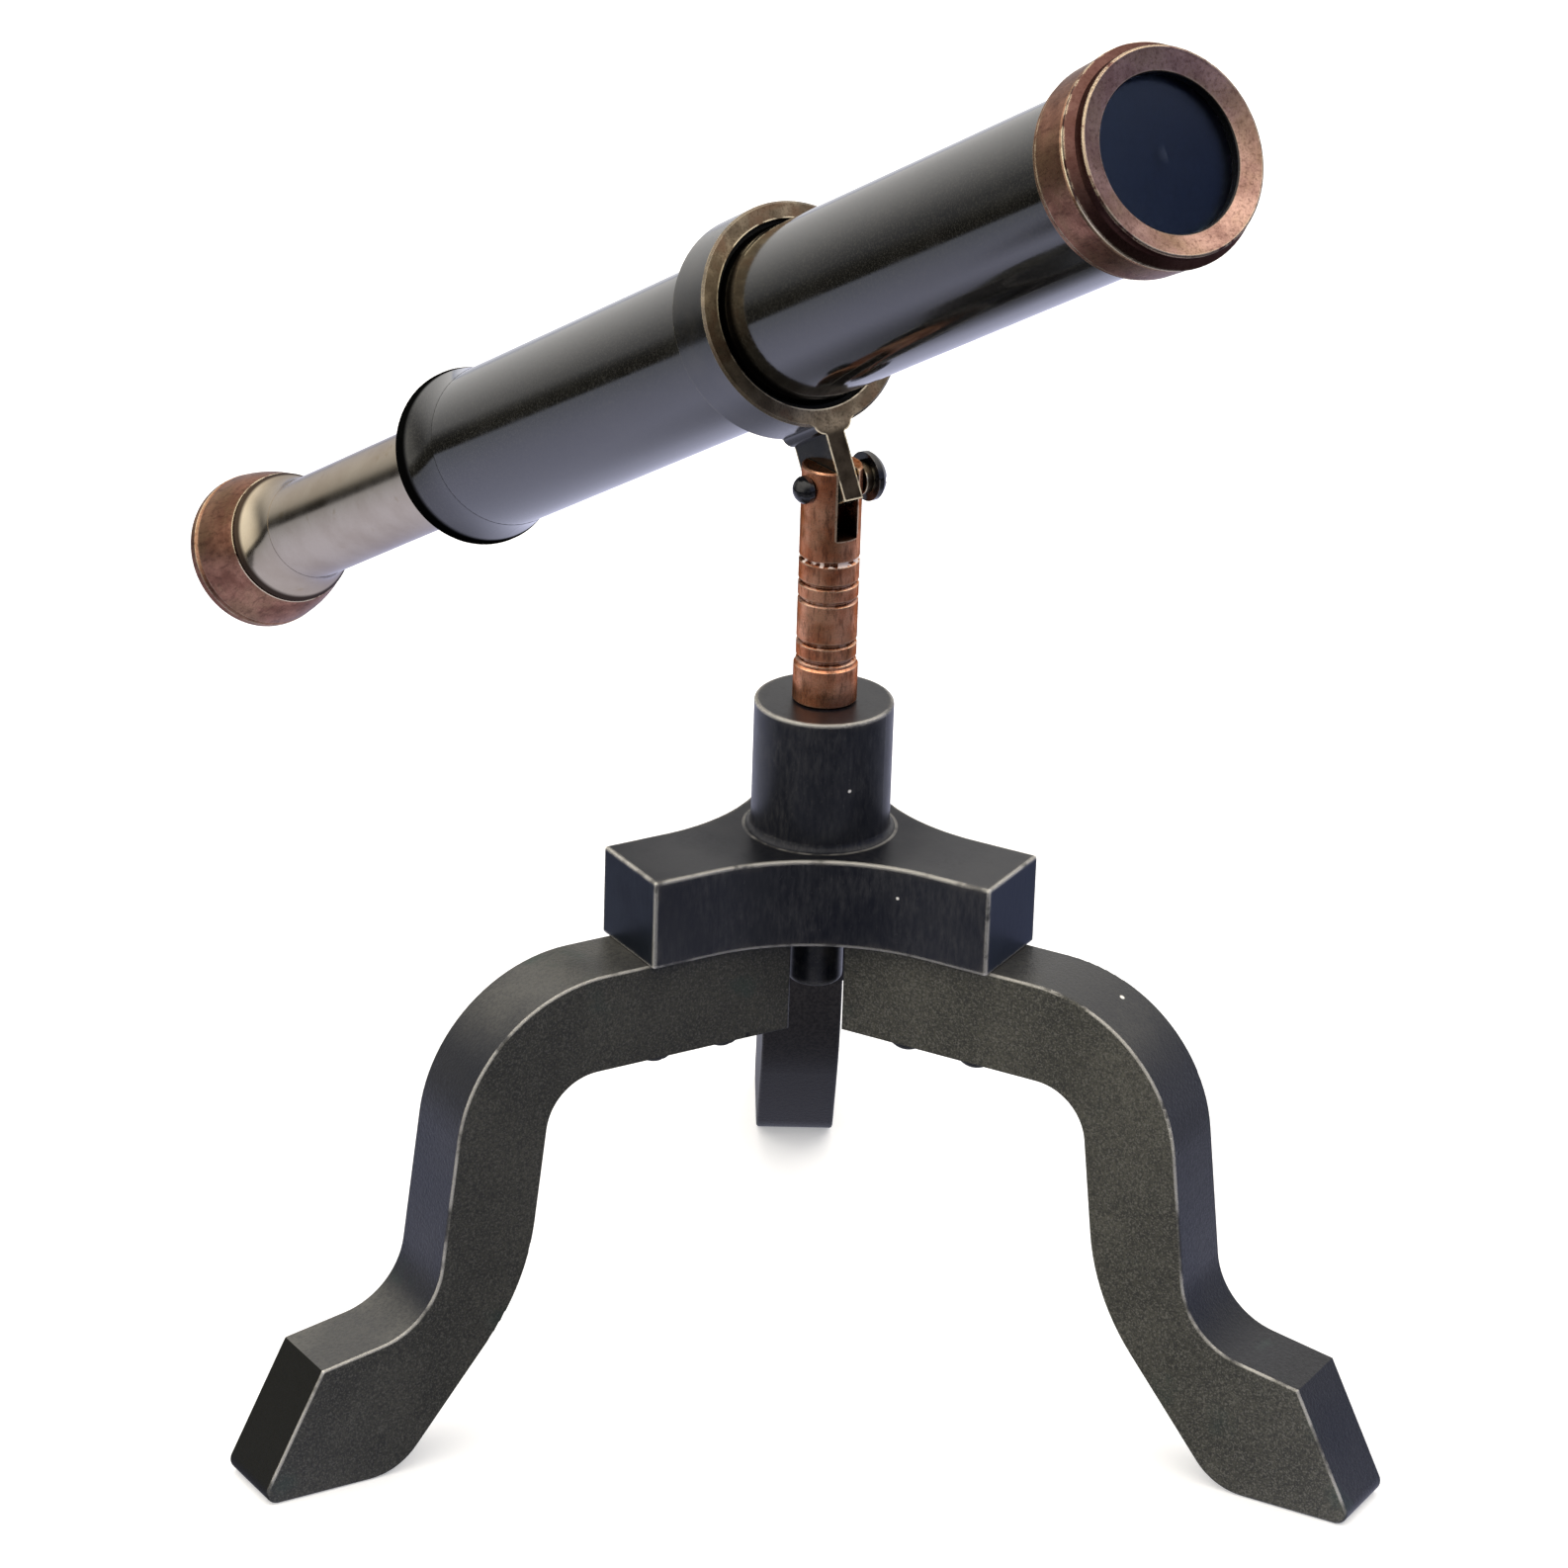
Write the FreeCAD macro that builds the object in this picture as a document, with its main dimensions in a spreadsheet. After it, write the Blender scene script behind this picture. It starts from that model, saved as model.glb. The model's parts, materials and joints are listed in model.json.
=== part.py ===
import FreeCAD, Part
import math
import os
from types import SimpleNamespace

import Sketcher

# Desk telescope: a draw telescope held by a ring on a swivelling forked post,
# on a three-legged stand. Millimetres. Origin on the ground under the middle of
# the whole object, +Z up; the telescope points to +X and tilts about an axis
# parallel to +Y. Sketches are drawn about the post's axis, which stands at
# post_x, post_y.

os.makedirs("parts", exist_ok=True)
doc = FreeCAD.newDocument("desk_telescope")
sheet = doc.addObject("Spreadsheet::Sheet", "Dims")

DIMENSIONS = {
    "post_x": 39.8, "post_y": 18.5,
    # hub: three arms round a boss
    "arm_reach": 33.0, "arm_half_width": 7.73, "arm_blend": 31.5,
    "plate_bottom": 75.0, "plate_top": 89.1, "boss_radius": 10.5, "boss_top": 109.7,
    "boss_flare": 1.2, "leg_swing": 25.5,
    # leg, as seen from the side: distance from the post's axis and height
    "leg_thickness": 12.56, "leg_root": 8.1, "leg_underside": 59.3,
    "shoulder_x": 62.1, "ankle_x": 68.4, "ankle_z": 23.7, "toe_x": 87.1, "toe_z": 20.4,
    "toe_tip": 97.57, "heel_x": 74.2, "knee_x": 52.7, "knee_z": 26.5, "arch_x": 48.8,
    "shoulder_radius": 25.0, "ankle_radius": 12.0, "knee_radius": 36.0,
    "arch_radius": 8.5, "heel_radius": 10.0, "toe_radius": 2.0, "edge_softening": 0.45,
    # screws that hold each leg to the hub
    "leg_screw_inner": 16.5, "leg_screw_outer": 28.2, "leg_screw_shank": 1.7,
    "leg_screw_head": 3.4, "leg_screw_rise": 3.3,
    # post and its pivot
    "stem_radius": 3.0, "swivel_gap": 0.05, "post_radius": 4.55, "post_foot_radius": 4.85,
    "post_top": 147.2, "pivot_height": 144.0, "slot_bottom": 136.5, "slot_width": 3.7,
    "groove_depth": 0.5, "groove_half": 0.45, "pin_radius": 1.25, "pivot_head": 3.75,
    # telescope: radii, and stations along the tube from the ring's middle
    "rest_tilt": 30.3, "pin_to_axis": 25.1, "ring_half": 4.5, "ring_bore": 14.45,
    "ring_radius": 17.1, "tongue_thickness": 3.3, "tongue_end": 3.4,
    "rear_radius": 13.1, "front_radius": 13.35, "tube_bore": 12.0, "draw_radius": 8.5,
    "draw_bore": 7.8, "collar_radius": 14.4, "collar_end": 97.8, "cell_radius": 15.75,
    "lens_radius": 12.8, "cell_start": 89.7, "cell_end": 97.75, "bezel_radius": 14.85, "bezel_end": 101.7,
    "opening_radius": 11.3, "cup_radius": 13.1, "cup_start": 161.6, "cup_end": 174.2,
    "ferrule_start": 153.4, "ferrule_radius": 10.9, "eye_hole": 3.6,
}


class Dim:
    """A driven length: its number now, and the sheet formula that gives it."""

    def __init__(self, value, formula):
        self.value, self.formula = value, formula

    def __add__(self, other):
        return Dim(self.value + number(other), "(%s + %s)" % (self.formula, formula(other)))

    def __sub__(self, other):
        return Dim(self.value - number(other), "(%s - %s)" % (self.formula, formula(other)))

    def __mul__(self, other):
        return Dim(self.value * number(other), "(%s * %s)" % (self.formula, formula(other)))

    def __truediv__(self, other):
        return Dim(self.value / number(other), "(%s / %s)" % (self.formula, formula(other)))

    def __neg__(self):
        return Dim(-self.value, "(0 - %s)" % self.formula)


def number(length):
    return length.value if isinstance(length, Dim) else float(length)


def formula(length):
    return length.formula if isinstance(length, Dim) else repr(float(length))


for row, (name, value) in enumerate(DIMENSIONS.items(), 1):
    sheet.set("A%d" % row, name)
    sheet.set("B%d" % row, str(value))
    sheet.setAlias("B%d" % row, name)
D = SimpleNamespace(**{k: Dim(v, "Dims." + k) for k, v in DIMENSIONS.items()})
doc.recompute()

bodies = {}
X, Y, Z = FreeCAD.Vector(1, 0, 0), FreeCAD.Vector(0, 1, 0), FreeCAD.Vector(0, 0, 1)


# ---- sketching ----

def drive(sketch, kind, places, length):
    """Add a dimension to the sketch and tie it to the sheet."""
    index = sketch.addConstraint(Sketcher.Constraint(kind, *places, number(length)))
    if isinstance(length, Dim):
        sketch.setExpression("Constraints[%d]" % index, length.formula)


def add_edge(sketch, start, end, turn, radius):
    """A straight edge, or the short arc that turns left or right. Gives its two end tags."""
    if turn is None:
        return sketch.addGeometry(Part.LineSegment(start, end), False), 1, 2
    chord = end - start
    side = FreeCAD.Vector(-chord.y, chord.x, 0).normalize() * (1 if turn == "left" else -1)
    rise = math.sqrt(max(number(radius) ** 2 - (chord.Length / 2) ** 2, 0))
    centre = (start + end) * 0.5 + side * rise
    first, last = (start, end) if turn == "left" else (end, start)
    angles = [math.atan2(p.y - centre.y, p.x - centre.x) for p in (first, last)]
    if angles[1] < angles[0]:
        angles[1] += 2 * math.pi
    arc = Part.ArcOfCircle(Part.Circle(centre, Z, number(radius)), *angles)
    tags = (1, 2) if turn == "left" else (2, 1)
    return (sketch.addGeometry(arc, False),) + tags


def outline(sketch, corners):
    """Closed outline. A corner is (x, y), or (x, y, turn, radius) when an arc leaves it."""
    corners = [tuple(c) + (None, None) if len(c) == 2 else tuple(c) for c in corners]
    points = [FreeCAD.Vector(number(c[0]), number(c[1]), 0) for c in corners]
    edges = [add_edge(sketch, points[i], points[(i + 1) % len(points)], c[2], c[3])
             for i, c in enumerate(corners)]
    for i, (edge, _, end) in enumerate(edges):
        following, start, _ = edges[(i + 1) % len(edges)]
        sketch.addConstraint(Sketcher.Constraint("Coincident", edge, end, following, start))
    for (edge, start, _), corner in zip(edges, corners):
        drive(sketch, "DistanceX", (-1, 1, edge, start), corner[0])
        drive(sketch, "DistanceY", (-1, 1, edge, start), corner[1])
        if corner[2]:
            drive(sketch, "Radius", (edge,), corner[3])


def circles(sketch, spots):
    for x, y, radius in spots:
        circle = Part.Circle(FreeCAD.Vector(number(x), number(y), 0), Z, number(radius))
        index = sketch.addGeometry(circle, False)
        drive(sketch, "DistanceX", (-1, 1, index, 3), x)
        drive(sketch, "DistanceY", (-1, 1, index, 3), y)
        drive(sketch, "Radius", (index,), radius)


def new_body(label):
    bodies[label] = doc.addObject("PartDesign::Body", label)
    place(bodies[label])
    return bodies[label]


def new_sketch(body, plane, draw, shapes):
    sketch = body.newObject("Sketcher::SketchObject", body.Name + "_sketch")
    base = [f for f in body.Origin.OriginFeatures if f.Role == plane][0]
    sketch.AttachmentSupport = [(base, "")]
    sketch.MapMode = "FlatFace"
    draw(sketch, shapes)
    doc.recompute()
    return sketch


def feature(body, kind, sketch=None, **settings):
    made = body.newObject("PartDesign::" + kind, body.Name + "_" + kind.lower())
    if sketch:
        made.Profile = sketch
    for key, value in settings.items():
        if isinstance(value, Dim):
            setattr(made, key, value.value)
            made.setExpression(key, value.formula)
        else:
            setattr(made, key, value)
    doc.recompute()
    return made


def turned(label, corners):
    """A body turned about its own Z; corners are (radius, height)."""
    body = new_body(label)
    sketch = new_sketch(body, "XZ_Plane", outline, corners)
    feature(body, "Revolution", sketch, ReferenceAxis=(sketch, ["V_Axis"]), Angle=360)
    return body


def box_outline(x0, y0, x1, y1):
    return [(x0, y0), (x1, y0), (x1, y1), (x0, y1)]


def round_edges(body, radius, wanted):
    """Fillet the last feature's edges that wanted(edge) picks."""
    last = body.Tip
    names = ["Edge%d" % (i + 1) for i, e in enumerate(last.Shape.Edges) if wanted(e)]
    return feature(body, "Fillet", Base=(last, names), Radius=radius)


def place(body, Base_x="0", Base_y="0", **formulas):
    """Bind a body's placement to formulas; x and y are measured from the post's axis."""
    formulas.update(Base_x="Dims.post_x + " + Base_x, Base_y="Dims.post_y + " + Base_y)
    for key, value in formulas.items():
        body.setExpression("Placement." + key.replace("_", "."), value)


# ---- stand ----

def spin(angle):
    return FreeCAD.Placement(FreeCAD.Vector(), FreeCAD.Rotation(Z, angle))


def make_hub():
    hub = new_body("hub")
    arm = new_sketch(hub, "XY_Plane", outline,
                     box_outline(-2, -D.arm_half_width, D.arm_reach, D.arm_half_width))
    arm.AttachmentOffset = FreeCAD.Placement(Z * D.plate_bottom.value, FreeCAD.Rotation())
    arm.setExpression("AttachmentOffset.Base.z", D.plate_bottom.formula)
    plate = feature(hub, "Pad", arm, Length=D.plate_top - D.plate_bottom)
    axis = [f for f in hub.Origin.OriginFeatures if f.Role == "Z_Axis"][0]
    arms = feature(hub, "PolarPattern", Originals=[plate], Axis=(axis, [""]), Angle=360,
                   Occurrences=3)
    hub.Tip = arms
    inner = D.arm_half_width.value / math.sin(math.radians(60))

    def between_arms(edge):
        ends = [v.Point for v in edge.Vertexes]
        return all(abs(math.hypot(p.x, p.y) - inner) < 0.1 for p in ends) \
            and abs(ends[0].z - ends[-1].z) > 1
    round_edges(hub, D.arm_blend, between_arms)

    ring = [(0, D.plate_bottom + 2), (D.boss_radius, D.plate_bottom + 2),
            (D.boss_radius, D.boss_top), (0, D.boss_top)]
    boss = new_sketch(hub, "XZ_Plane", outline, ring)
    feature(hub, "Revolution", boss, ReferenceAxis=(boss, ["V_Axis"]), Angle=360)

    def at_height(level, radius=None):
        def picked(edge):
            box = edge.BoundBox
            flat = abs(box.ZMin - level.value) < 0.01 and abs(box.ZMax - level.value) < 0.01
            circle = hasattr(edge.Curve, "Radius") and radius is not None \
                and abs(edge.Curve.Radius - radius.value) < 0.01
            return flat and (circle if radius is not None else True)
        return picked
    round_edges(hub, D.boss_flare, at_height(D.plate_top, D.boss_radius))
    round_edges(hub, D.edge_softening, at_height(D.boss_top, D.boss_radius))

    def plate_rim(edge):
        box = edge.BoundBox
        level = abs(box.ZMax - box.ZMin) < 0.01
        at_plate = min(abs(box.ZMin - D.plate_top.value), abs(box.ZMin - D.plate_bottom.value))
        middle = edge.valueAt((edge.FirstParameter + edge.LastParameter) / 2)
        away = math.hypot(middle.x, middle.y) > D.boss_radius.value + D.boss_flare.value + 0.2
        corner = abs(box.ZMax - box.ZMin) > 5 and math.hypot(middle.x, middle.y) > 30
        return (level and at_plate < 0.01 and away) or corner
    round_edges(hub, D.edge_softening, plate_rim)

    bore = new_sketch(hub, "XY_Plane", circles, [(0, 0, D.stem_radius + D.swivel_gap)])
    feature(hub, "Pocket", bore, Type=1, Midplane=True)
    spots = [(D.leg_screw_inner, 0, D.leg_screw_shank), (D.leg_screw_outer, 0, D.leg_screw_shank)]
    taps = new_sketch(hub, "XY_Plane", circles, spots)
    tapped = feature(hub, "Pocket", taps, Type=0, Midplane=True,
                     Length=(D.plate_bottom + 10) * 2)
    hub.Tip = feature(hub, "PolarPattern", Originals=[tapped], Axis=(axis, [""]), Angle=360,
                      Occurrences=3)
    hub.Placement = spin(D.leg_swing.value)
    place(hub, Rotation_Angle="Dims.leg_swing * 1deg")


LEG_ROUNDS = (("shoulder_x", "plate_bottom", "shoulder_radius"),
              ("ankle_x", "ankle_z", "ankle_radius"), ("knee_x", "knee_z", "knee_radius"),
              ("arch_x", "leg_underside", "arch_radius"), ("heel_x", None, "heel_radius"),
              ("toe_tip", None, "toe_radius"))


def make_leg(index):
    leg = new_body("leg_%d" % index)
    side = new_sketch(leg, "XZ_Plane", outline, [
        (D.leg_root, D.plate_bottom), (D.shoulder_x, D.plate_bottom), (D.ankle_x, D.ankle_z),
        (D.toe_x, D.toe_z), (D.toe_tip, 0), (D.heel_x, 0), (D.knee_x, D.knee_z),
        (D.arch_x, D.leg_underside), (D.leg_root, D.leg_underside)])
    feature(leg, "Pad", side, Midplane=True, Length=D.leg_thickness)
    for x, z, radius in LEG_ROUNDS:
        spot = FreeCAD.Vector(DIMENSIONS[x], 0, DIMENSIONS[z] if z else 0)

        def crossing(edge):
            ends = [v.Point for v in edge.Vertexes]
            return all(math.hypot(p.x - spot.x, p.z - spot.z) < 0.05 for p in ends)
        round_edges(leg, getattr(D, radius), crossing)

    def on_side(edge):
        box = edge.BoundBox
        return box.YMax - box.YMin < 0.01 and box.ZMax > 0.01
    round_edges(leg, D.edge_softening, on_side)
    spots = [(D.leg_screw_inner, 0, D.leg_screw_shank + 0.3),
             (D.leg_screw_outer, 0, D.leg_screw_shank + 0.3)]
    holes = new_sketch(leg, "XY_Plane", circles, spots)
    feature(leg, "Pocket", holes, Type=1, Midplane=True)
    leg.Placement = spin(D.leg_swing.value + 120 * (index - 1))
    place(leg, Rotation_Angle="(Dims.leg_swing + %d) * 1deg" % (120 * (index - 1)))


def make_screw(label, shank, length, head, rise, slot):
    """A slotted dome-headed screw: head below its own z = 0, shank above."""
    rim = rise * 0.2
    dome = (head * head + (rise - rim) * (rise - rim)) / ((rise - rim) * 2)
    body = turned(label, [(0, -rise, "left", dome), (head, -rim), (head, 0), (shank, 0),
                          (shank, length), (0, length)])
    cut = new_sketch(body, "XZ_Plane", outline, box_outline(-head, -rise - 1, head, -rise * 0.62))
    feature(body, "Pocket", cut, Type=0, Midplane=True, Length=slot)
    return body


def make_leg_screws(index):
    turn = "(Dims.leg_swing + %d) * 1deg" % (120 * (index - 1))
    for name, reach in (("inner", D.leg_screw_inner), ("outer", D.leg_screw_outer)):
        screw = make_screw("leg_%d_screw_%s" % (index, name), D.leg_screw_shank,
                           D.plate_bottom - D.leg_underside + 9, D.leg_screw_head,
                           D.leg_screw_rise, 0.9)
        angle = D.leg_swing.value + 120 * (index - 1)
        at = FreeCAD.Vector(reach.value * math.cos(math.radians(angle)),
                            reach.value * math.sin(math.radians(angle)), D.leg_underside.value)
        screw.Placement = FreeCAD.Placement(at, FreeCAD.Rotation(Z, angle + 35 * index))
        place(screw, Base_x="%s * cos(%s)" % (reach.formula, turn),
              Base_y="%s * sin(%s)" % (reach.formula, turn), Base_z=D.leg_underside.formula)


# ---- post and pivot ----

GROOVES = (116.8, 119.6, 126.3, 129.0, 132.7)


def make_post():
    foot, ledge = D.boss_top + D.swivel_gap, D.boss_top + 5.9
    corners = [(0, D.plate_bottom - 9), (D.stem_radius, D.plate_bottom - 9),
               (D.stem_radius, foot), (D.post_foot_radius - 0.3, foot),
               (D.post_foot_radius, foot + 0.3), (D.post_foot_radius, ledge),
               (D.post_radius, ledge + 0.3)]
    for height in GROOVES:
        level = D.boss_top + (height - D.boss_top.value)
        corners += [(D.post_radius, level - D.groove_half),
                    (D.post_radius - D.groove_depth, level - 0.12),
                    (D.post_radius - D.groove_depth, level + 0.12),
                    (D.post_radius, level + D.groove_half)]
    corners += [(D.post_radius, D.post_top - 0.25), (D.post_radius - 0.25, D.post_top),
                (0, D.post_top)]
    post = turned("post", corners)
    slot = new_sketch(post, "YZ_Plane", outline,
                      box_outline(D.slot_width * -0.5, D.slot_bottom, D.slot_width * 0.5,
                                  D.post_top + 5))
    feature(post, "Pocket", slot, Type=1, Midplane=True)
    hole = new_sketch(post, "XZ_Plane", circles, [(0, D.pivot_height, D.pin_radius)])
    feature(post, "Pocket", hole, Type=1, Midplane=True)


def make_swivel_fixings():
    face = D.plate_bottom - D.swivel_gap
    turned("swivel_washer", [(D.stem_radius, face - 0.9), (D.stem_radius + 2.6, face - 0.9),
                             (D.stem_radius + 2.6, face), (D.stem_radius, face)])
    turned("swivel_nut", [(0, D.plate_bottom - 11.3), (3.1, D.plate_bottom - 11.3, "left", 1.1),
                          (4.2, D.plate_bottom - 10.2), (4.2, face - 0.9),
                          (D.stem_radius, face - 0.9), (D.stem_radius, D.plate_bottom - 9),
                          (0, D.plate_bottom - 9)])


def along_y(body, height):
    """Lay a body's own Z along +Y at the pivot's height."""
    body.Placement = FreeCAD.Placement(Z * height.value, FreeCAD.Rotation(X, -90))
    place(body, Base_z=height.formula)


def make_pivot():
    reach, rise = D.post_radius + 1.45, D.pin_radius * 2.4
    dome = (D.pivot_head * D.pivot_head + rise * rise * 0.49) / (rise * 1.4)
    screw = turned("pivot_screw", [
        (0, -D.post_radius - 1.4), (D.pin_radius, -D.post_radius - 1.4), (D.pin_radius, reach),
        (D.pivot_head, reach), (D.pivot_head, reach + rise * 0.3, "left", dome),
        (0, reach + rise)])
    cut = new_sketch(
        screw, "XZ_Plane", outline,
        box_outline(-D.pivot_head, reach + rise * 0.5, D.pivot_head, reach + rise + 1))
    feature(screw, "Pocket", cut, Type=0, Midplane=True, Length=1.1)
    washer = turned("pivot_washer", [
        (D.pin_radius, D.post_radius), (2.6, D.post_radius), (2.6, reach),
        (D.pin_radius, reach)])
    tip = -D.post_radius - 2.1
    nut = turned("pivot_nut", [
        (0, tip), (0, -D.post_radius - 1.4), (D.pin_radius, -D.post_radius - 1.4),
        (D.pin_radius, -D.post_radius), (2.1, -D.post_radius),
        (2.1, -D.post_radius - 0.7, "right", 2.2)])
    for body in (screw, washer, nut):
        along_y(body, D.pivot_height)


# ---- telescope: every part is turned about its own Z, then laid on the tube's axis ----

TILT = "Dims.rest_tilt * 1deg"


def on_tube_axis(*made):
    angle, reach = math.radians(D.rest_tilt.value), D.pin_to_axis.value
    at = FreeCAD.Vector(-reach * math.sin(angle), 0,
                        D.pivot_height.value + reach * math.cos(angle))
    for body in made:
        body.Placement = FreeCAD.Placement(at, FreeCAD.Rotation(Y, 90 - D.rest_tilt.value))
        place(body, Base_x="(0 - Dims.pin_to_axis * sin(%s))" % TILT,
              Base_z="Dims.pivot_height + Dims.pin_to_axis * cos(%s)" % TILT,
              Rotation_Angle="90deg - " + TILT)


def sleeve(label, inner, outer, start, end):
    return turned(label, [(inner, start), (outer, start), (outer, end), (inner, end)])


def lens(label, radius, start, end, back, front):
    """A lens whose edge runs from start to end; back and front are how far it bulges."""
    corners = []
    for bulge, level, side in ((back, start, -1), (front, end, 1)):
        r = (radius * radius + bulge * bulge) / (bulge * 2)
        if side < 0:
            corners += [(0, level - bulge, "left", r), (radius, level)]
        else:
            corners += [(radius, level, "left", r), (0, level + bulge)]
    return turned(label, corners)


def make_ring():
    ring = turned("mount_ring", [
        (D.ring_bore, -D.ring_half), (D.ring_radius - 0.35, -D.ring_half),
        (D.ring_radius, -D.ring_half + 0.35), (D.ring_radius, D.ring_half - 0.35),
        (D.ring_radius - 0.35, D.ring_half), (D.ring_bore, D.ring_half)])
    plan = new_sketch(ring, "XY_Plane", outline, [
        (D.ring_radius - 1.5, D.tongue_thickness * -1.5),
        (D.ring_radius - 0.3, D.tongue_thickness * -1.0, "left", 1.9),
        (D.ring_radius + 1.1, D.tongue_thickness * -0.5),
        (D.pin_to_axis + D.tongue_end, D.tongue_thickness * -0.5),
        (D.pin_to_axis + D.tongue_end, D.tongue_thickness * 0.5),
        (D.ring_radius + 1.1, D.tongue_thickness * 0.5, "left", 1.9),
        (D.ring_radius - 0.3, D.tongue_thickness * 1.0),
        (D.ring_radius - 1.5, D.tongue_thickness * 1.5)])
    feature(ring, "Pad", plan, Midplane=True, Length=D.ring_half * 2)
    hole = new_sketch(ring, "XZ_Plane", circles,
                      [(D.pin_to_axis, 0, D.pin_radius + D.swivel_gap)])
    feature(ring, "Pocket", hole, Type=1, Midplane=True)
    liner = sleeve("ring_liner", D.rear_radius, D.ring_bore, -D.ring_half + 0.2,
                   D.ring_half - 1.5)
    on_tube_axis(ring, liner)


def make_barrels():
    joint = D.ring_half - 1.3
    rear = sleeve("rear_barrel", D.tube_bore, D.rear_radius, -D.collar_end + 6.8, joint)
    front = turned("front_barrel", [
        (D.tube_bore, joint), (D.front_radius - 0.1, joint, "left", 0.6),
        (D.front_radius + 0.35, D.ring_half - 0.7), (D.front_radius + 0.35, D.ring_half + 0.2,
                                                     "right", 12),
        (D.front_radius, D.ring_half + 2.6), (D.front_radius, D.cell_end - 2.8),
        (D.tube_bore, D.cell_end - 2.8)])
    coupling = sleeve("barrel_coupling", D.tube_bore - 0.8, D.tube_bore, -8, 16)
    stop = turned("light_stop", [(9.2, 44.8), (D.tube_bore, 44.8), (D.tube_bore, 47.2),
                                 (D.tube_bore - 0.6, 47.2), (D.tube_bore - 0.6, 45.4),
                                 (9.2, 45.4)])
    end, far = -D.collar_end, D.collar_radius
    collar = turned("rear_collar", [
        (D.draw_radius + 0.08, end), (far - 1.3, end + 0.1, "left", 1.5),
        (far, end + 1.5), (far, end + 2.3, "right", 30),
        (D.rear_radius + 0.03, end + 10.8), (D.rear_radius, end + 10.8),
        (D.rear_radius, end + 6.8), (D.draw_radius + 0.08, end + 6.8)])
    on_tube_axis(rear, front, coupling, stop, collar)


def make_objective():
    seat, out = D.cell_end - 2.8, D.cell_radius
    cell = turned("objective_cell", [
        (D.front_radius, D.cell_start), (out - 0.8, D.cell_start),
        (out - 0.55, D.cell_start + 0.3), (out - 0.55, D.cell_start + 0.8),
        (out - 0.75, D.cell_start + 1.0), (out - 0.3, D.cell_start + 1.3),
        (out, D.cell_end - 0.4), (out - 0.15, D.cell_end), (D.lens_radius + 0.05, D.cell_end),
        (D.lens_radius + 0.05, seat + 0.4), (11.2, seat + 0.4), (11.2, seat), (D.front_radius, seat)])
    glass = lens("objective_lens", D.lens_radius, seat + 0.65, seat + 3.8, 0.7, 1.1)
    face, rim = D.bezel_end, D.bezel_radius
    bezel = turned("objective_bezel", [
        (D.opening_radius, seat + 4.1), (D.lens_radius + 0.05, seat + 4.1),
        (D.lens_radius + 0.05, D.cell_end),
        (rim + 0.3, D.cell_end), (rim + 0.3, D.cell_end + 0.5), (rim + 1.1, D.cell_end + 0.5),
        (rim + 1.1, D.cell_end + 0.95), (rim - 0.1, D.cell_end + 1.9, "right", 4.5),
        (rim, face - 0.35, "left", 0.35), (rim - 0.35, face), (D.opening_radius + 0.15, face - 1.0),
        (D.opening_radius, face - 1.2)])
    on_tube_axis(cell, glass, bezel)


def make_draw():
    inner, end = -D.collar_end + 11.2, -D.cup_start
    tube = sleeve("draw_tube", D.draw_bore, D.draw_radius, end - 1.4, inner)
    stop = sleeve("draw_stop_ring", D.draw_radius, D.tube_bore - 0.1, inner - 4, inner)
    ferrule = turned("draw_ferrule", [
        (D.draw_radius, end), (D.ferrule_radius - 0.4, end, "left", 0.6),
        (D.ferrule_radius, end + 0.6, "right", 13.5), (D.draw_radius + 0.03, -D.ferrule_start),
        (D.draw_radius, -D.ferrule_start)])
    far, rim = -D.cup_end, D.cup_radius
    cup = turned("eyepiece_cup", [
        (D.eye_hole, far + 2.6), (rim - 1.3, far + 0.1, "left", 1.4), (rim, far + 1.5),
        (rim, far + 2.6), (rim - 0.45, far + 3.1), (rim - 0.15, far + 3.7, "left", 40),
        (D.ferrule_radius + 0.1, end), (D.draw_radius, end), (D.draw_radius, end - 1.4),
        (6.6, end - 1.4), (6.6, far + 3.6), (D.eye_hole, far + 3.6)])
    eye = lens("eye_lens", Dim(6.5, "6.5"), far + 4.4, far + 5.4, 0.6, 1.1)
    ring = sleeve("eye_lens_ring", 5.4, 6.6, far + 6.3, far + 7.7)
    field = lens("field_lens", Dim(6.9, "6.9"), Dim(-149.0, "(-149.0)"),
                 Dim(-147.6, "(-147.6)"), 0.5, 1.3)
    holder = turned("field_lens_cell", [
        (5.9, -150.4), (D.draw_bore, -150.4), (D.draw_bore, -144.6), (6.95, -144.6),
        (6.95, -149.6), (5.9, -149.6)])
    tunnel = turned("erector_tube", [
        (6.6, -124.5), (D.draw_bore, -124.5), (D.draw_bore, -122.5), (7.2, -122.5),
        (7.2, -96.5), (D.draw_bore, -96.5), (D.draw_bore, -94.5), (6.6, -94.5)])
    near = lens("erector_lens_rear", Dim(6.55, "6.55"), Dim(-122.0, "(-122.0)"),
                Dim(-120.6, "(-120.6)"), 0.5, 1.0)
    away = lens("erector_lens_front", Dim(6.55, "6.55"), Dim(-98.4, "(-98.4)"),
                Dim(-97.0, "(-97.0)"), 1.0, 0.5)
    iris = sleeve("erector_stop", 2.2, 6.6, -110.6, -109.8)
    on_tube_axis(tube, stop, ferrule, cup, eye, ring, field, holder, tunnel, near, away, iris)


make_hub()
for leg_index in (1, 2, 3):
    make_leg(leg_index)
    make_leg_screws(leg_index)
make_post()
make_swivel_fixings()
make_pivot()
make_ring()
make_barrels()
make_objective()
make_draw()
doc.recompute()

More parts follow.
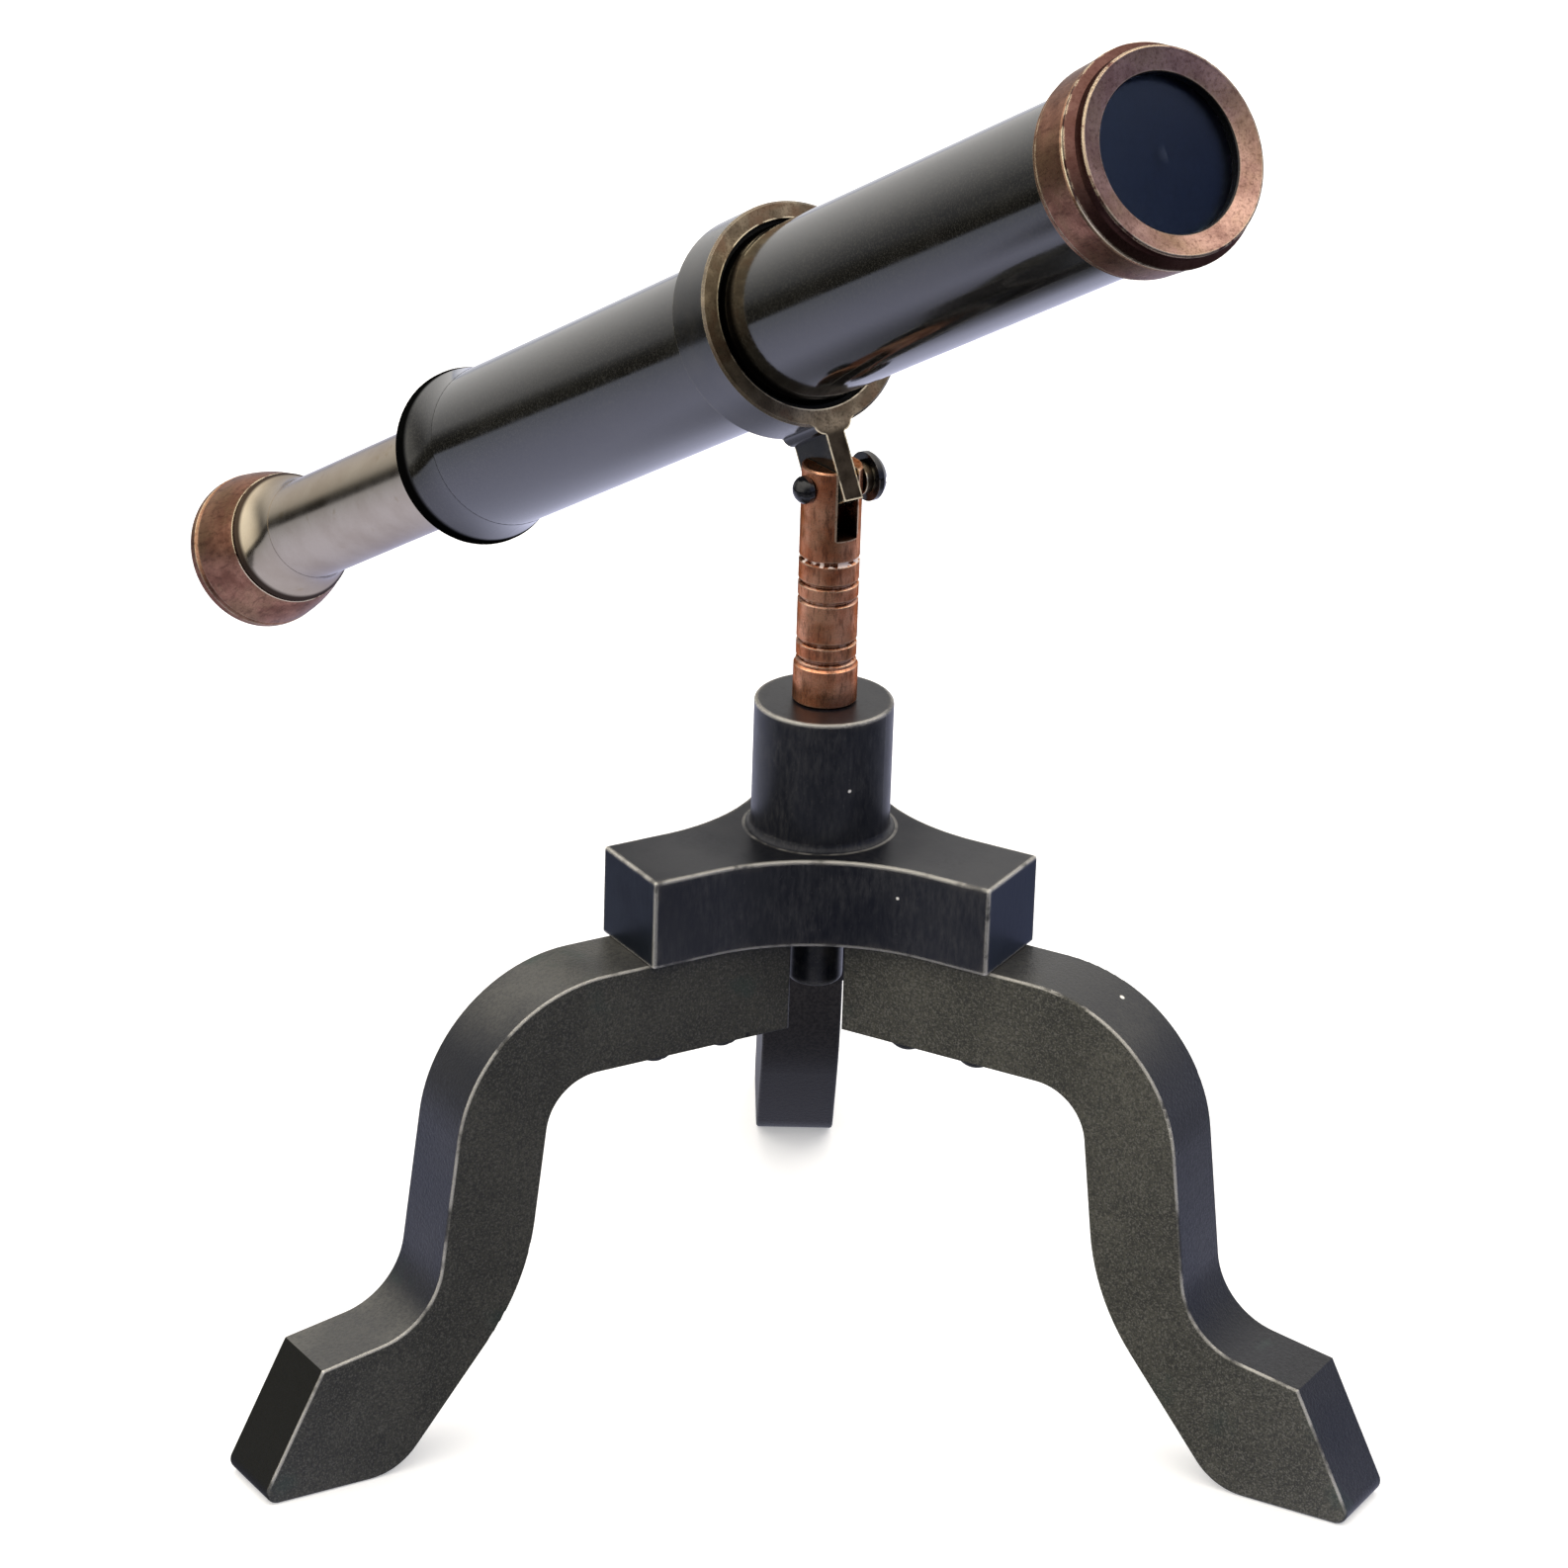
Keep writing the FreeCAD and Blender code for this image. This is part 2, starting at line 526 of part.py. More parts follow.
for item in doc.Objects:
    if "Invalid" in item.State or "Error" in item.State:
        raise RuntimeError("%s did not recompute: %s" % (item.Label, item.State))
for label, body in bodies.items():
    if body.Shape.isNull() or not body.Shape.isValid():
        raise RuntimeError("%s has no valid shape" % label)
    body.Shape.exportStep("parts/%s.step" % label)
    print(label, len(body.Shape.Solids), round(body.Shape.Volume, 1))
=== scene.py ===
import json
import math

import bpy
from mathutils import Matrix, Vector


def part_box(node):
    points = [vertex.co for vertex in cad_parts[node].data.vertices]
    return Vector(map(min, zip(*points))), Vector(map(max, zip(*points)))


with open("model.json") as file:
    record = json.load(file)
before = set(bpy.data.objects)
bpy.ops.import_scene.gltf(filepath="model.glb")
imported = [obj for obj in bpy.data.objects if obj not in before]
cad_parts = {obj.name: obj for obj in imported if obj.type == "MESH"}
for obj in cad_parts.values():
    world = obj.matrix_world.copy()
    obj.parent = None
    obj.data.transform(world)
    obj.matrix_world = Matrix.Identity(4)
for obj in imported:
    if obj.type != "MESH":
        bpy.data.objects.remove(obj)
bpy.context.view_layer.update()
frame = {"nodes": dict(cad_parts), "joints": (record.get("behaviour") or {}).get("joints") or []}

NODES = frame["nodes"]
JOINTS = {joint["name"]: joint for joint in frame["joints"]}
MM = 0.001
UP = Vector((0, 0, 1))
LEGS = (1, 2, 3)


def centre_of(node):
    low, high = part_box(node)
    return (low + high) / 2


def outwards(azimuth):
    """The level direction that points away from the post at an azimuth."""
    return Vector((math.cos(azimuth), math.sin(azimuth), 0))


# The telescope's own frame: z runs along the tube towards the objective, from the middle of the front barrel.
TUBE_AXIS = Vector(JOINTS["draw_slide"]["axis"]).normalized()
TUBE_TURN = math.atan2(TUBE_AXIS.z, TUBE_AXIS.x) - math.pi / 2
TUBE_SHIFT = -(Matrix.Rotation(TUBE_TURN, 3, "Y") @ centre_of("front_barrel"))

# The stand's and the post's own frame: z runs up the post's axis from the ground.
POST = Vector((*JOINTS["post_swivel"]["pos_m"][:2], 0))


def along_tube(node):
    """How far in front of the front barrel's middle a node's middle is."""
    return (centre_of(node) - centre_of("front_barrel")).dot(TUBE_AXIS)


def azimuth_of_leg(number):
    middle = centre_of(f"leg_{number}_screw_outer") - POST
    return math.atan2(middle.y, middle.x)


class Finish:
    """A material's nodes. Anything that takes a value takes a number or colour, or another node's output.

    Sizes given to its methods are in millimetres. Its place, along and radius are in metres, in the telescope's
    own frame or in the stand's: along the z axis and out from it."""

    def __init__(self, name, on_tube=False):
        self.material = bpy.data.materials.new(name)
        self.material.use_nodes = True
        self.tree = self.material.node_tree
        self.surface = self.tree.nodes["Principled BSDF"]
        turned = self.node("ShaderNodeMapping", Vector=self.node("ShaderNodeTexCoord").outputs["Object"])
        turned.inputs["Location"].default_value = TUBE_SHIFT if on_tube else -POST
        turned.inputs["Rotation"].default_value = (0, TUBE_TURN if on_tube else 0, 0)
        self.place = turned.outputs["Vector"]
        x, y, self.along = self.node("ShaderNodeSeparateXYZ", Vector=self.place).outputs
        self.radius = self.maths("SQRT", self.maths("ADD", self.times(x, x), self.times(y, y)))

    def node(self, kind, settings=(), **inputs):
        made = self.tree.nodes.new(kind)
        for key, value in dict(settings).items():
            setattr(made, key, value)
        for key, value in inputs.items():
            self.feed(made.inputs[key.replace("_", " ")], value)
        return made

    def feed(self, socket, value):
        if isinstance(value, bpy.types.NodeSocket):
            self.tree.links.new(socket, value)
        elif isinstance(value, (tuple, Vector)) and len(value) == 3 and socket.type == "RGBA":
            socket.default_value = (*value, 1)
        else:
            socket.default_value = value

    def maths(self, operation, a, b=0.0):
        made = self.node("ShaderNodeMath", {"operation": operation})
        self.feed(made.inputs[0], a)
        self.feed(made.inputs[1], b)
        return made.outputs[0]

    def times(self, first, *others):
        for other in others:
            first = self.maths("MULTIPLY", first, other)
        return first

    def most(self, first, *others):
        for other in others:
            first = self.maths("MAXIMUM", first, other)
        return first

    def but(self, share):
        """What is left of 1 without share."""
        return self.maths("SUBTRACT", 1.0, share)

    def span(self, value, low, high, to_low=0.0, to_high=1.0):
        """value's run from low to high, eased to a run from to_low to to_high."""
        made = self.node("ShaderNodeMapRange", {"interpolation_type": "SMOOTHSTEP"}, Value=value, From_Min=low,
                         From_Max=high, To_Min=to_low, To_Max=to_high)
        return made.outputs["Result"]

    def mix(self, share, a, b):
        made = self.node("ShaderNodeMix", {"data_type": "RGBA"})
        self.feed(made.inputs[0], share)
        self.feed(made.inputs[6], a)
        self.feed(made.inputs[7], b)
        return made.outputs[2]

    def noise(self, size, detail=3.0, rough=0.55, stretch=(1, 1, 1), seed=0.0):
        """Clouds about size across; stretch lengthens them along x, y and z."""
        moved = self.node("ShaderNodeMapping", Vector=self.place)
        moved.inputs["Location"].default_value = (seed, seed * 0.7, seed * 0.3)
        moved.inputs["Scale"].default_value = tuple(1 / length for length in stretch)
        made = self.node("ShaderNodeTexNoise", Vector=moved.outputs[0], Scale=1 / (size * MM), Detail=detail,
                         Roughness=rough)
        return made.outputs[0]

    def lathe(self, pitch):
        """Fine turning marks: rings round the z axis, on the sides and on the ends alike."""
        at = self.node("ShaderNodeCombineXYZ", X=self.radius, Y=self.along)
        made = self.node("ShaderNodeTexNoise", Vector=at.outputs[0], Scale=1 / (pitch * MM), Detail=2.0,
                         Roughness=0.6)
        return made.outputs[0]

    def specks(self, spacing, size, share, seed):
        """1 in small scattered spots, on about share of the cells spacing apart."""
        moved = self.node("ShaderNodeMapping", Vector=self.place)
        moved.inputs["Location"].default_value = (seed, seed, seed)
        cells = self.node("ShaderNodeTexVoronoi", Vector=moved.outputs[0], Scale=1 / (spacing * MM))
        chance = self.node("ShaderNodeSeparateColor", Color=cells.outputs["Color"]).outputs[0]
        spot = self.span(cells.outputs["Distance"], size / spacing, size / spacing * 0.5)
        return self.times(spot, self.maths("LESS_THAN", chance, share))

    def edges(self, reach):
        """How near a convex edge is, from 0 on a flat face to 1."""
        made = self.node("ShaderNodeAmbientOcclusion", {"inside": True, "only_local": True, "samples": 8},
                         Distance=reach * MM)
        return self.but(made.outputs["AO"])

    def hollows(self, reach):
        """How closed in the surface is, from 0 in the open to 1 deep in a slot or groove."""
        made = self.node("ShaderNodeAmbientOcclusion", {"only_local": True, "samples": 8}, Distance=reach * MM)
        return self.but(made.outputs["AO"])

    def towards(self, direction):
        """How far the surface faces towards direction, below 0 when it faces away."""
        dot = self.node("ShaderNodeVectorMath", {"operation": "DOT_PRODUCT"})
        self.feed(dot.inputs[0], self.node("ShaderNodeTexCoord").outputs["Normal"])
        self.feed(dot.inputs[1], Vector(direction))
        return dot.outputs["Value"]

    def facing(self, direction):
        """How far the surface faces along direction, either way, from 0 to 1."""
        return self.maths("ABSOLUTE", self.towards(direction))

    def relief(self, height, depth, over=None):
        """A bump depth high, on top of another one."""
        made = self.node("ShaderNodeBump", Height=height, Distance=depth * MM, Strength=1.0)
        if over is not None:
            self.feed(made.inputs["Normal"], over)
        return made.outputs[0]

    def show(self, colour, metallic, roughness, normal=None, ior=1.5, tint=(1.0, 1.0, 1.0)):
        """The finished material. tint colours a plain surface's gloss, and a metal's gloss at its limbs."""
        for key, value in {"Base Color": colour, "Metallic": metallic, "Roughness": roughness, "IOR": ior,
                           "Specular Tint": tint}.items():
            self.feed(self.surface.inputs[key], value)
        if normal is not None:
            self.feed(self.surface.inputs["Normal"], normal)
        return self.material


WHITE = (1.0, 1.0, 1.0)
BARE_BRASS = (1.0, 0.96, 0.86)
NEAR_BLACK = (0.004, 0.004, 0.004)


def blackened_tube():
    """Chemically blacked brass tube, rubbed to a gloss; its bore is flat black.

    The collar's lip and the tube just in front of the ring get painted shade: near black, with hardly a reflection."""
    f = Finish("blackened_tube", on_tube=True)
    collar, ring = along_tube("rear_collar"), along_tube("ring_liner")
    bore_radius = 12.8 * MM
    cloud = f.span(f.noise(14, 4), 0.35, 0.7)
    marks = f.lathe(0.35)
    fine = f.noise(0.35, 2)
    colour = f.mix(cloud, (0.006, 0.0055, 0.004), (0.012, 0.011, 0.008))
    colour = f.mix(f.span(fine, 0.50, 0.62, 0, 0.5), colour, (0.040, 0.038, 0.030))
    worn = f.times(f.span(f.edges(0.5), 0.10, 0.35), f.span(f.noise(6, 3, seed=3), 0.35, 0.6),
                   f.span(f.along, collar + 9 * MM, collar + 11 * MM, 0, 0.5))
    colour = f.mix(worn, colour, (0.16, 0.13, 0.09))
    # Painted shade: the collar's rounded rear lip turns near black and rough.
    shaded_lip = f.span(f.along, collar - 1.1 * MM, collar - 2.3 * MM)
    colour = f.mix(shaded_lip, colour, NEAR_BLACK)
    bore = f.span(f.radius, bore_radius + 0.2 * MM, bore_radius)
    colour = f.mix(bore, colour, NEAR_BLACK)
    rough = f.maths("ADD", f.span(cloud, 0, 1, 0.07, 0.12), f.span(fine, 0.3, 0.8, 0, 0.04))
    rough = f.most(rough, f.times(f.most(bore, shaded_lip), 0.8))
    normal = f.relief(marks, 0.001, f.relief(fine, 0.002))
    # Painted shade: a band just in front of the ring turns near black, with its gloss dimmed.
    ring_shade = f.times(f.span(f.along, ring + 4.0 * MM, ring + 4.3 * MM),
                   f.span(f.along, ring + 8.0 * MM, ring + 6.6 * MM))
    painted_shade = f.most(shaded_lip, f.times(ring_shade, 0.85))
    return f.show(f.mix(painted_shade, colour, NEAR_BLACK), painted_shade, rough, normal, ior=1.75,
                  tint=f.mix(painted_shade, WHITE, (0.10, 0.10, 0.10)))


def blackened_turned():
    """Blued-black turned and milled brass with its corners rubbed through to bright metal.

    The hub's arm ends get a painted bluish reflection with dimmed gloss, palest on the end over leg_1 as painted
    light; upward faces and the boss's round side get dimmed gloss as painted shade.
    A bright bare-brass line runs round where the boss stands on the plate."""
    f = Finish("blackened_turned")
    boss_radius, foot_radius, arm_ends = 10.5 * MM, 11.4 * MM, 24 * MM
    cloud = f.span(f.noise(11, 4), 0.35, 0.68)
    brushed = f.noise(0.7, 4, 0.7, stretch=(1, 1, 4))
    fine = f.noise(0.3, 2)
    colour = f.mix(cloud, (0.004, 0.005, 0.010), (0.010, 0.011, 0.015))
    # Lighter brushed streaks in patches: brushed grain, and a painted streaky highlight as well.
    streak_sheen = f.span(f.noise(8, 3, seed=9), 0.35, 0.62, 0.25, 0.7)
    colour = f.mix(f.times(f.span(brushed, 0.30, 0.80), streak_sheen), colour, (0.046, 0.046, 0.048))
    worn = f.times(f.span(f.edges(0.48), 0.08, 0.17), f.span(f.noise(4, 3, seed=2), 0.30, 0.50, 0.25, 1))
    plate_top = centre_of("hub").z + 2.5 * MM
    # A bright bare-brass line round the boss's foot on the plate.
    foot = f.times(f.span(f.radius, foot_radius - 0.15 * MM, foot_radius),
                   f.span(f.radius, foot_radius + 0.45 * MM, foot_radius + 0.3 * MM),
                   f.span(f.along, plate_top - 6 * MM, plate_top - 5 * MM),
                   f.span(f.noise(3, 3, seed=6), 0.35, 0.55, 0.2, 0.8))
    rubbed = f.times(f.span(f.edges(2.2), 0.08, 0.5), f.span(f.noise(3, 4, seed=5), 0.4, 0.7))
    nicks = f.specks(9, 0.35, 0.30, seed=1)
    colour = f.mix(f.times(rubbed, 0.35), colour, (0.11, 0.10, 0.085))
    bare = f.most(worn, foot, nicks)
    colour = f.mix(bare, colour, BARE_BRASS)
    # Painted reflection and light on the arm ends: a bluish colour and a bluish gloss tint, palest on the end over
    # leg_1.
    first = azimuth_of_leg(1)
    ends = 0.0
    for arm in range(3):
        ends = f.most(ends, f.span(f.facing(outwards(first + arm * math.tau / 3)), 0.93, 0.97))
    ends = f.times(ends, f.span(f.radius, arm_ends - 4 * MM, arm_ends))
    lit_end = f.span(f.towards(outwards(first)), 0.93, 0.97, 0, 0.9)
    rough = f.span(brushed, 0.3, 0.75, 0.32, 0.44)
    normal = f.relief(brushed, 0.004, f.relief(fine, 0.006))
    # dimmed_gloss is painted shade: more metal on the dark arm ends and upward faces, so that they reflect less.
    dimmed_gloss = f.times(f.most(f.times(ends, 0.55), f.span(f.towards(UP), 0.8, 0.95, 0, 0.5)), f.but(bare))
    painted_end_reflection = f.mix(lit_end, f.mix(cloud, (0.014, 0.020, 0.031), (0.025, 0.034, 0.046)), (0.085, 0.105, 0.150))
    colour = f.mix(f.times(ends, dimmed_gloss), colour, painted_end_reflection)
    tint = f.mix(ends, WHITE, (0.15, 0.22, 0.32))
    # Painted shade: the gloss is dimmed on the boss's round side and on the plate next to it.
    round_boss = f.times(f.span(f.radius, 25 * MM, 12 * MM),
                         f.span(f.radius, boss_radius, boss_radius + 0.06 * MM))
    tint = f.mix(f.times(round_boss, 0.5), tint, (0.10, 0.10, 0.12))
    metal = f.most(f.times(bare, 0.3), dimmed_gloss)
    return f.show(colour, metal, rough, normal, ior=1.4, tint=tint)


def blackened_cast(name, azimuth, cheek_light, shoulder_light, toe_top_light, toe_end_shade, brown):
    """Cast leg, blacked and oiled: grainy flat cheeks, smoother filed rim, bright worn corners, pits and verdigris.

    After the azimuth, the next three arguments are painted light: how light its cheeks, its shoulder top and its toe
    top are painted.
    The fourth is painted shade, how dark and dull the toe's end is, and brown is how far its rim has gone from black
    to brown."""
    f = Finish(name)
    across = (-math.sin(azimuth), math.cos(azimuth), 0)
    toe_top, shoulder = 24 * MM, 50 * MM
    cheek = f.span(f.facing(across), 0.55, 0.95)
    cloud = f.span(f.noise(16, 5), 0.33, 0.68)
    grain = f.noise(0.55, 3, 0.7)
    fine = f.noise(0.3, 2)
    colour = f.mix(cloud, Vector((0.034, 0.033, 0.024)) * cheek_light, Vector((0.056, 0.054, 0.040)) * cheek_light)
    colour = f.mix(f.span(grain, 0.40, 0.60), f.mix(0.55, colour, (0.010, 0.010, 0.009)), colour)
    colour = f.mix(f.span(fine, 0.50, 0.64, 0, 0.45), colour, Vector((0.125, 0.120, 0.098)) * cheek_light)
    rim = f.mix(cloud, (0.007, 0.008, 0.011), (0.016, 0.016, 0.017))
    rim = f.mix(f.span(fine, 0.50, 0.66, 0, 0.4), rim, (0.034, 0.035, 0.038))
    rim = f.mix(brown, rim, f.mix(f.span(grain, 0.40, 0.60), (0.030, 0.027, 0.026), (0.056, 0.050, 0.047)))
    # Painted light: the upward faces of the rim are painted lighter, by a set amount for each leg on the shoulder and
    # on the toe.
    rise = f.towards(UP)
    lit_tops = f.times(f.span(rise, 0.50, 0.90), f.span(cloud, 0, 1, 0.55, 1), f.span(grain, 0.36, 0.60, 0.60, 1.05))
    top = Vector((0.078, 0.076, 0.066))
    rim = f.mix(lit_tops, rim, f.mix(f.span(f.along, shoulder - 20 * MM, shoulder), top * toe_top_light, top * shoulder_light))
    # Painted shade: the toe's end and underside get a darker colour, more metal and a dimmed gloss tint.
    shaded_tip = f.times(f.span(rise, 0.80, 0.55), f.span(f.along, toe_top, toe_top - 4 * MM, 0, toe_end_shade), f.but(cheek))
    colour = f.mix(cheek, rim, colour)
    green = f.times(f.span(f.noise(13, 4, seed=7), 0.60, 0.74), 0.45)
    colour = f.mix(green, colour, (0.022, 0.045, 0.034))
    pits = f.specks(7, 0.55, 0.22, seed=4)
    colour = f.mix(pits, colour, (0.008, 0.008, 0.008))
    outer_rim = f.span(f.towards(outwards(azimuth) + UP * 0.8), 0.02, 0.30)
    worn = f.times(f.span(f.edges(0.48), 0.08, 0.17), f.span(f.noise(6, 4, seed=2), 0.34, 0.54, 0.1, 1), outer_rim,
                   f.span(f.facing(across), 0.10, 0.35), f.span(f.along, 1 * MM, 5 * MM))
    nicks = f.specks(17, 0.5, 0.10, seed=9)
    bare = f.most(worn, nicks)
    dimmed_gloss = f.times(shaded_tip, f.maths("SUBTRACT", 0.7, bare))
    colour = f.mix(bare, f.mix(shaded_tip, colour, (0.022, 0.022, 0.018)), BARE_BRASS)
    rough = f.maths("ADD", f.mix(cheek, (0.36, 0.36, 0.36), (0.52, 0.52, 0.52)), f.span(grain, 0.3, 0.8, -0.05, 0.08))
    normal = f.relief(pits, -0.12, f.relief(fine, 0.03, f.relief(grain, 0.08)))
    # The rim's gloss is tinted blue, a painted bluish reflection, and it is dimmed on the shaded tip.
    tint = f.mix(cheek, f.mix(shaded_tip, (0.55, 0.58, 0.70), (0.15, 0.15, 0.15)), WHITE)
    metal = f.most(f.times(bare, 0.3), dimmed_gloss)
    return f.show(colour, metal, rough, normal, ior=1.4, tint=tint)


def aged_copper(name, on_tube, dark, light, bore=None, shaft=None):
    """Copper-plated brass gone brown, rubbed pink and gold where it is handled and, on the tube, painted bright there
    as a highlight too, with painted shade in its slots and gaps.

    bore is the radius of a bezel's bore, which is sooty, and its outer side is darker. shaft is the radius of the
    post, whose top groove gets a painted glint."""
    f = Finish(name, on_tube)
    cloud = f.span(f.noise(5, 5, 0.6), 0.34, 0.68)
    patch = f.span(f.noise(9, 4, 0.6, seed=3), 0.45, 0.66)
    marks = f.lathe(0.25)
    fine = f.noise(0.3, 3, 0.7)
    streaks = f.noise(0.7, 4, 0.7, stretch=(1, 1, 4), seed=6)
    colour = f.mix(cloud, dark, light)
    colour = f.mix(f.times(patch, 0.45), colour, (0.28, 0.19, 0.10))
    colour = f.mix(f.span(fine, 0.45, 0.75, 0, 0.4), colour, (0.07, 0.035, 0.025))
    colour = f.mix(f.span(streaks, 0.48, 0.66, 0, 0.5), colour, (0.07, 0.03, 0.02))
    colour = f.mix(f.span(marks, 0.5, 0.8, 0, 0.25), colour, (0.42, 0.24, 0.17))
    worn = f.times(f.span(f.edges(0.35), 0.08, 0.22), f.span(f.noise(2.5, 3, seed=2), 0.33, 0.48))
    # On the tube the rubbed edges are painted extra bright and yellow: wear, and a painted highlight as well.
    colour = f.mix(worn, colour, (1.0, 0.86, 0.60) if on_tube else (0.85, 0.62, 0.42))
    metal, rough = 1.0, f.span(fine, 0.3, 0.75, 0.26, 0.42)
    # Painted shade: slots, gaps and grooves found by occlusion are darkened.
    hollow_shade = f.most(f.span(f.hollows(8.0), 0.34, 0.62), f.span(f.hollows(0.9), 0.22, 0.5))
    if shaft:
        # A painted glint: pale spots in the top groove, fainter ones in the lower grooves.
        top_groove = 132.7 * MM
        painted_glint = f.times(f.span(f.radius, (shaft - 0.02) * MM, (shaft - 0.1) * MM),
                        f.span(f.noise(1.8, 2, stretch=(1, 1, 3), seed=8), 0.47, 0.52),
                        f.span(f.along, top_groove + 1.9 * MM, top_groove + 1.5 * MM),
                        f.span(f.along, top_groove - 2.2 * MM, top_groove - 1.2 * MM, 0.25, 1))
        hollow_shade = f.times(hollow_shade, f.but(painted_glint))
        colour = f.mix(painted_glint, colour, (1.0, 0.86, 0.78))
        metal = f.but(f.times(painted_glint, 0.8))
    colour = f.mix(hollow_shade, colour, (0.012, 0.006, 0.005))
    if bore:
        outer_side = 14.4 * MM
        black = f.span(f.radius, (bore + 0.25) * MM, (bore + 0.1) * MM)
        colour = f.mix(black, colour, NEAR_BLACK)
        metal = f.but(black)
        side = f.times(f.span(f.facing(TUBE_AXIS), 0.97, 0.90),
                       f.span(f.radius, outer_side - 0.4 * MM, outer_side), f.but(worn))
        colour = f.mix(f.times(side, 0.85), colour, (0.060, 0.022, 0.020))
    normal = f.relief(marks, 0.003, f.relief(fine, 0.006))
    return f.show(colour, metal, rough, normal, tint=(0.62, 0.60, 0.60) if on_tube else (0.35, 0.28, 0.26))


def aged_brass(name, on_tube):
    """Bronze-brown brass. On the mount ring, the outside of the band is blacked like the tubes and the tongue is
    darker than the ring's end face."""
    f = Finish(name, on_tube)
    cloud = f.span(f.noise(4, 5, 0.6), 0.34, 0.68)
    fine = f.noise(0.3, 3, 0.7)
    dark, light = (0.06, 0.045, 0.03), (0.13, 0.10, 0.06)
    if on_tube:
        dark, light = (0.15, 0.112, 0.070), (0.34, 0.265, 0.17)
    colour = f.mix(cloud, dark, light)
    warm = f.span(f.noise(5, 3, seed=5), 0.48, 0.64, 0, 0.8)
    colour = f.mix(warm, colour, Vector((1.70, 1.05, 0.62)) * dark[1])
    colour = f.mix(f.span(fine, 0.50, 0.65, 0, 0.5), colour, (0.04, 0.033, 0.02))
    metal, tint = 1.0, WHITE
    rough = f.span(fine, 0.3, 0.75, 0.28, 0.45)
    if on_tube:
        band_radius = 17.15 * MM
        colour = f.mix(f.span(f.radius, band_radius - 0.25 * MM, band_radius + 1.35 * MM, 0, 0.96), colour,
                       f.mix(cloud, (0.016, 0.012, 0.008), (0.050, 0.038, 0.026)))
        band = f.times(f.span(f.facing(TUBE_AXIS), 0.80, 0.60),
                       f.span(f.radius, band_radius - 1.15 * MM, band_radius - 0.65 * MM))
        colour = f.mix(band, colour, f.mix(cloud, (0.008, 0.008, 0.007), (0.022, 0.020, 0.016)))
        metal = f.but(band)
        rough = f.maths("SUBTRACT", rough, f.times(band, 0.20))
        tint = f.mix(f.span(f.radius, band_radius, band_radius + 0.35 * MM), WHITE, (0.14, 0.14, 0.15))
    worn = f.times(f.span(f.edges(0.4), 0.12, 0.35), f.span(f.noise(3, 3, seed=2), 0.36, 0.52))
    colour = f.mix(worn, colour, (0.92, 0.78, 0.52))
    if on_tube:
        metal = f.most(metal, worn)
    return f.show(colour, metal, rough, f.relief(fine, 0.006), ior=1.75, tint=tint)


def pale_brass():
    """Bare drawn brass gone pale and silky, with a painted shadow line behind the flare at its end."""
    f = Finish("pale_brass", on_tube=True)
    flare = along_tube("draw_ferrule")
    cloud = f.span(f.noise(12, 4), 0.35, 0.68)
    marks = f.lathe(0.3)
    fine = f.noise(0.3, 2)
    colour = f.mix(cloud, (0.405, 0.340, 0.252), (0.500, 0.436, 0.336))
    colour = f.mix(f.span(fine, 0.5, 0.8, 0, 0.3), colour, (0.385, 0.320, 0.225))
    colour = f.mix(f.span(f.noise(3, 4, seed=4), 0.62, 0.75, 0, 0.5), colour, (0.36, 0.285, 0.18))
    # Painted shadow: a near-black, rougher band just behind the flare.
    shaded_lip = f.span(f.along, flare - 1.3 * MM, flare - 2.1 * MM)
    colour = f.mix(shaded_lip, colour, (0.05, 0.035, 0.025))
    rough = f.maths("ADD", f.span(cloud, 0, 1, 0.12, 0.19), f.times(shaded_lip, 0.3))
    normal = f.relief(marks, 0.001, f.relief(fine, 0.002))
    return f.show(colour, 1.0, rough, normal, tint=(0.62, 0.61, 0.64))


def inner_brass():
    """Machined brass inside the telescope."""
    f = Finish("inner_brass", on_tube=True)
    marks = f.lathe(0.3)
    colour = f.mix(f.span(marks, 0.35, 0.7), (0.40, 0.29, 0.14), (0.60, 0.46, 0.25))
    return f.show(colour, 1.0, f.span(marks, 0.3, 0.7, 0.28, 0.42), f.relief(marks, 0.004))


def black_steel():
    """Gloss-blacked screws and nuts."""
    f = Finish("black_steel")
    fine = f.noise(0.4, 3)
    colour = f.mix(f.span(fine, 0.4, 0.75), (0.006, 0.006, 0.008), (0.022, 0.021, 0.022))
    worn = f.times(f.span(f.edges(0.3), 0.15, 0.4), f.span(f.noise(1.5, 3), 0.45, 0.6), 0.6)
    colour = f.mix(worn, colour, (0.20, 0.18, 0.16))
    return f.show(colour, 0.0, f.span(fine, 0.3, 0.8, 0.08, 0.16), f.relief(fine, 0.004), ior=1.45)


def black_liner(name):
    """Flat black felt or paint."""
    f = Finish(name, on_tube=True)
    nap = f.noise(0.25, 3, 0.7)
    colour = f.mix(f.span(nap, 0.3, 0.75), (0.003, 0.003, 0.003), (0.012, 0.012, 0.011))
    return f.show(colour, 0.0, f.span(nap, 0.3, 0.7, 0.75, 0.95), f.relief(nap, 0.03))


def lens_glass():
    """Coated optical glass, a little hazy."""
    f = Finish("lens_glass", on_tube=True)
    haze = f.span(f.noise(6, 4, 0.6), 0.4, 0.8, 0.28, 0.34)
    colour = f.mix(f.span(f.radius, 0.0, 13 * MM), (0.34, 0.41, 0.54), (0.29, 0.37, 0.50))
    f.surface.inputs["Specular IOR Level"].default_value = 0.3
    f.surface.inputs["Transmission Weight"].default_value = 1.0
    return f.show(colour, 0.0, haze, tint=(0.22, 0.32, 0.62))


def dress(material, *nodes):
    for name in nodes:
        NODES[name].material_slots[0].material = material


